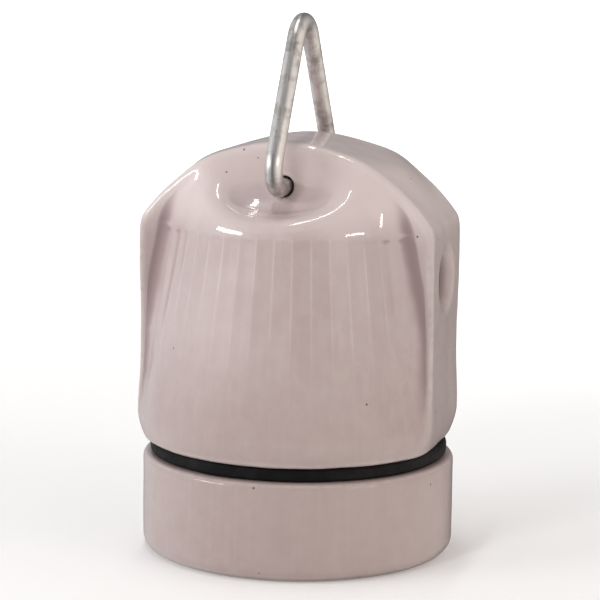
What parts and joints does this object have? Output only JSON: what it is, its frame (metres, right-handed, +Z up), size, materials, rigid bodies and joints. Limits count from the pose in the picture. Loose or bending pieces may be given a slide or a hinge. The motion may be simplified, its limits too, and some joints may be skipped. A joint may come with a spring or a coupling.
{
  "type": "heat lamp fixture",
  "caption": "Glazed porcelain lampholder for a screw-in heat lamp, with a wire bail, a saddle with side cable entries and a screwed lower ring.",
  "frame": {"origin": "centre of the lower ring's bottom face", "axes": "+Z up along the lamp's axis; the saddle and the cable entries run along X; the bail's legs are at -Y (front) and +Y"},
  "size_m": [0.06, 0.0622, 0.1029],
  "materials": {
    "porcelain_glazed": "glossy off-white glaze with a faint pink-grey cast",
    "ring_glazed": "glossy off-white glaze with a faint pink-grey cast",
    "gasket_rubber": "matte black",
    "bail_wire": "bright galvanised, slightly dulled",
    "core_porcelain": "unglazed, matte",
    "shell_brass": "rolled sheet, satin",
    "contact_bronze": "spring bronze, satin",
    "terminal_brass": "machined, satin",
    "screw_steel": "zinc plated",
    "clamp_screw_steel": "zinc plated",
    "plate_steel": "plain steel",
    "strap_steel": "zinc plated, pressed"
  },
  "bodies": {
    "housing": {"upper_housing": "porcelain_glazed", "sealing_gasket": "gasket_rubber"},
    "bail_wire": {"bail": "bail_wire"},
    "contact_block": {"socket_core": "core_porcelain", "screw_shell": "shell_brass", "centre_contact_tab": "contact_bronze", "centre_contact_screw": "screw_steel", "live_terminal": "terminal_brass", "neutral_terminal": "terminal_brass", "shell_screw_neutral": "screw_steel", "shell_screw_far": "screw_steel", "shell_washer": "screw_steel", "shell_nut": "screw_steel", "cord_grip_strap": "strap_steel", "cord_grip_screws": "screw_steel"},
    "ring": {"lower_ring": "ring_glazed"},
    "contact_tongue": {"centre_contact_tongue": "contact_bronze"},
    "live_plate": {"live_pressure_plate": "plate_steel"},
    "live_screw": {"live_clamp_screw": "clamp_screw_steel"},
    "neutral_plate": {"neutral_pressure_plate": "plate_steel"},
    "neutral_screw": {"neutral_clamp_screw": "clamp_screw_steel"}
  },
  "joints": [
    {"name": "bail_swing", "type": "hinge", "parent": "housing", "child": "bail_wire", "pos_m": [0, 0, 0.0713], "axis": [0, 1, 0], "range_deg": [-63, 63]},
    {"name": "core_drop", "type": "slide", "parent": "housing", "child": "contact_block", "axis": [0, 0, -1], "range_m": [0, 0.0108]},
    {"name": "ring_turn", "type": "hinge", "parent": "contact_block", "child": "ring", "pos_m": [0, 0, 0], "axis": [0, 0, -1], "range_deg": [0, 972]},
    {"name": "centre_contact_flex", "type": "hinge", "parent": "contact_block", "child": "contact_tongue", "pos_m": [-0.002, 0, 0.03], "axis": [0, -1, 0], "range_deg": [0, 18], "stiffness_Nm_per_rad": 0.04, "springref_deg": -2.86},
    {"name": "live_plate_travel", "type": "slide", "parent": "contact_block", "child": "live_plate", "axis": [0, 0, -1], "range_m": [-0.0006, 0.001]},
    {"name": "live_screw_turn", "type": "hinge", "parent": "live_plate", "child": "live_screw", "pos_m": [-0.0106, 0, 0.045], "axis": [0, 0, -1], "range_deg": [-432, 720]},
    {"name": "neutral_plate_travel", "type": "slide", "parent": "contact_block", "child": "neutral_plate", "axis": [0, 0, -1], "range_m": [-0.0006, 0.001]},
    {"name": "neutral_screw_turn", "type": "hinge", "parent": "neutral_plate", "child": "neutral_screw", "pos_m": [0.0074, 0, 0.045], "axis": [0, 0, -1], "range_deg": [-432, 720]}
  ],
  "couplings": [
    {"joint": "core_drop", "follows": "ring_turn", "m_per_rad": 0.00063662},
    {"joint": "live_screw_turn", "follows": "live_plate_travel", "rad_per_m": 12566},
    {"joint": "neutral_screw_turn", "follows": "neutral_plate_travel", "rad_per_m": 12566}
  ]
}
